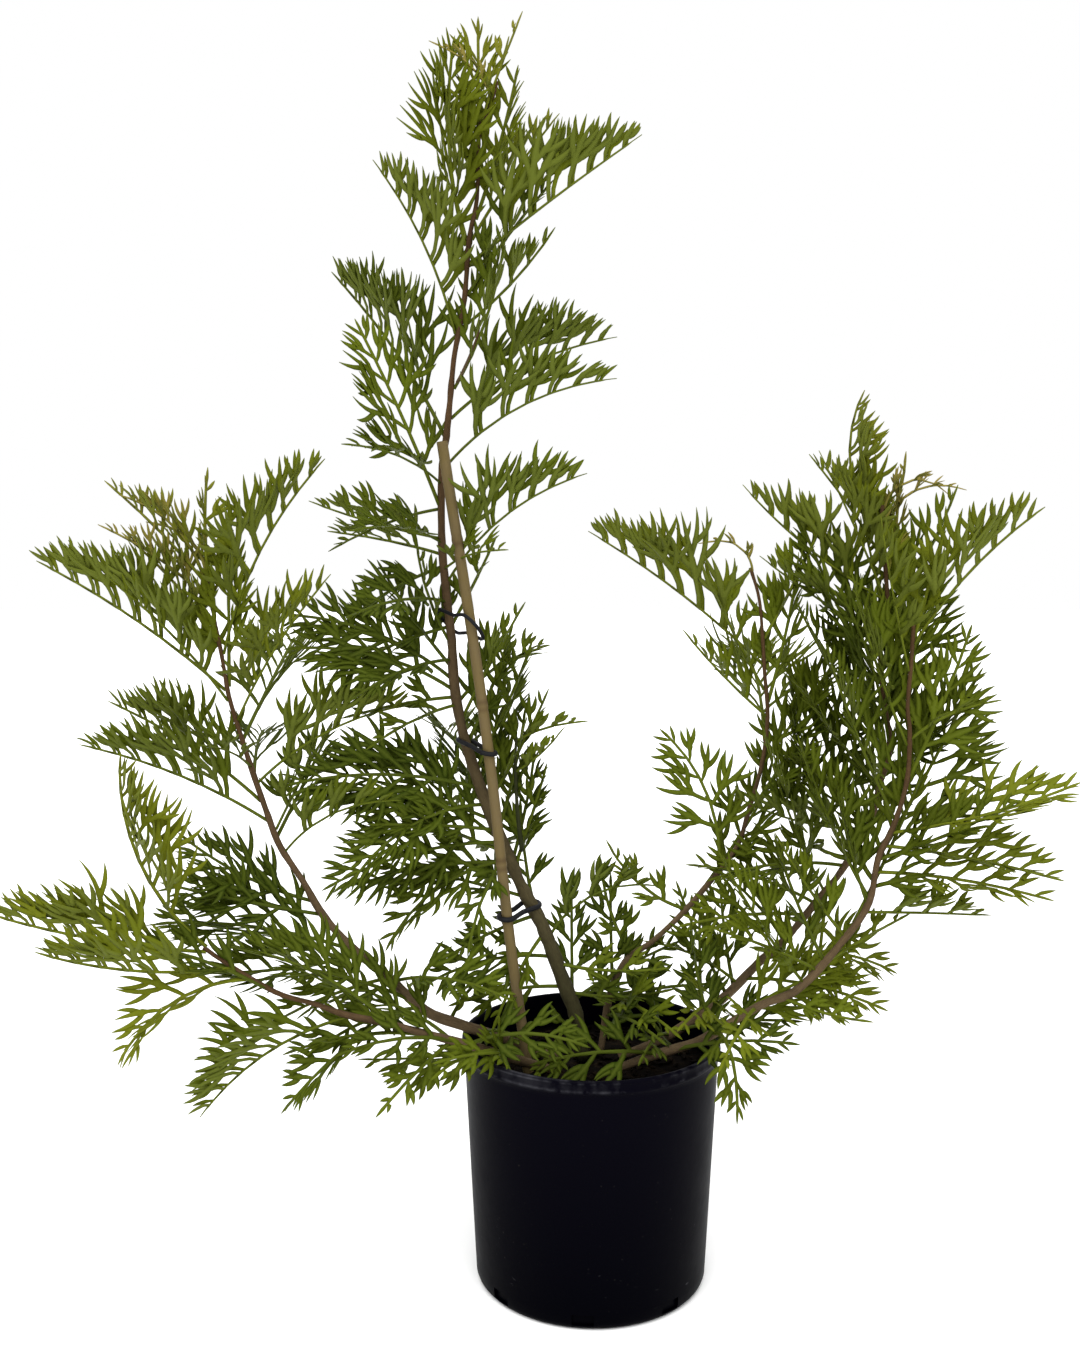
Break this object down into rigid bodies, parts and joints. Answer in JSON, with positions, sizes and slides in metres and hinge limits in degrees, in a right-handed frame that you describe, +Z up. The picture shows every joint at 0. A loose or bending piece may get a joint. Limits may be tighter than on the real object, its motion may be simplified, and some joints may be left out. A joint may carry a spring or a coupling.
{
  "type": "potted fern-leaved shrub",
  "caption": "Young fern-leaved shrub with deeply forked feathery leaves on arching woody stems, tied to a bamboo stake in a round black plastic nursery pot.",
  "frame": {"origin": "centre of the flat underside of the pot", "axes": "+Z up along the pot's axis, +X towards the right-hand shoots seen from the front, -Y towards the front"},
  "size_m": [0.7998, 0.3093, 0.9659],
  "materials": {
    "pot_plastic": "smooth moulded plastic with a dull sheen and light scuffs",
    "potting_mix_bark": "dark, damp, crumbly bark mix",
    "bamboo": "dry cane with rings",
    "tie_plastic": "soft black plastic",
    "stem_bark": "brown bark, redder on young growth",
    "leaf_green": "leathery leaf, mid green, paler below"
  },
  "bodies": {
    "root": {"bamboo_stake": "bamboo", "green_twig": "stem_bark", "inner_leaf_01": "leaf_green", "inner_leaf_02": "leaf_green", "inner_leaf_03": "leaf_green", "inner_leaf_04": "leaf_green", "inner_stem": "stem_bark", "leader_leaf_01": "leaf_green", "leader_leaf_02": "leaf_green", "leader_leaf_03": "leaf_green", "leader_leaf_04": "leaf_green", "leader_leaf_05": "leaf_green", "leader_leaf_06": "leaf_green", "leader_leaf_07": "leaf_green", "leader_leaf_08": "leaf_green", "leader_leaf_09": "leaf_green", "leader_leaf_10": "leaf_green", "leader_leaf_11": "leaf_green", "leader_leaf_12": "leaf_green", "leader_leaf_13": "leaf_green", "leader_leaf_14": "leaf_green", "leader_leaf_15": "leaf_green", "leader_leaf_16": "leaf_green", "leader_leaf_17": "leaf_green", "leader_leaf_18": "leaf_green", "leader_leaf_19": "leaf_green", "leader_stem": "stem_bark", "left_leaf_01": "leaf_green", "left_leaf_02": "leaf_green", "left_leaf_03": "leaf_green", "left_leaf_04": "leaf_green", "left_leaf_05": "leaf_green", "left_leaf_06": "leaf_green", "left_leaf_07": "leaf_green", "left_leaf_08": "leaf_green", "left_leaf_09": "leaf_green", "left_leaf_10": "leaf_green", "left_stem": "stem_bark", "low_leaf_01": "leaf_green", "low_leaf_02": "leaf_green", "low_leaf_03": "leaf_green", "low_leaf_04": "leaf_green", "low_stem": "stem_bark", "lower_tie": "tie_plastic", "middle_leaf_01": "leaf_green", "middle_leaf_02": "leaf_green", "middle_leaf_03": "leaf_green", "middle_leaf_04": "leaf_green", "middle_leaf_05": "leaf_green", "middle_leaf_06": "leaf_green", "middle_stem": "stem_bark", "middle_tie": "tie_plastic", "outer_leaf_01": "leaf_green", "outer_leaf_02": "leaf_green", "outer_leaf_03": "leaf_green", "outer_stem": "stem_bark", "pot": "pot_plastic", "potting_mix": "potting_mix_bark", "top_twig": "stem_bark", "upper_tie": "tie_plastic"}
  },
  "joints": []
}
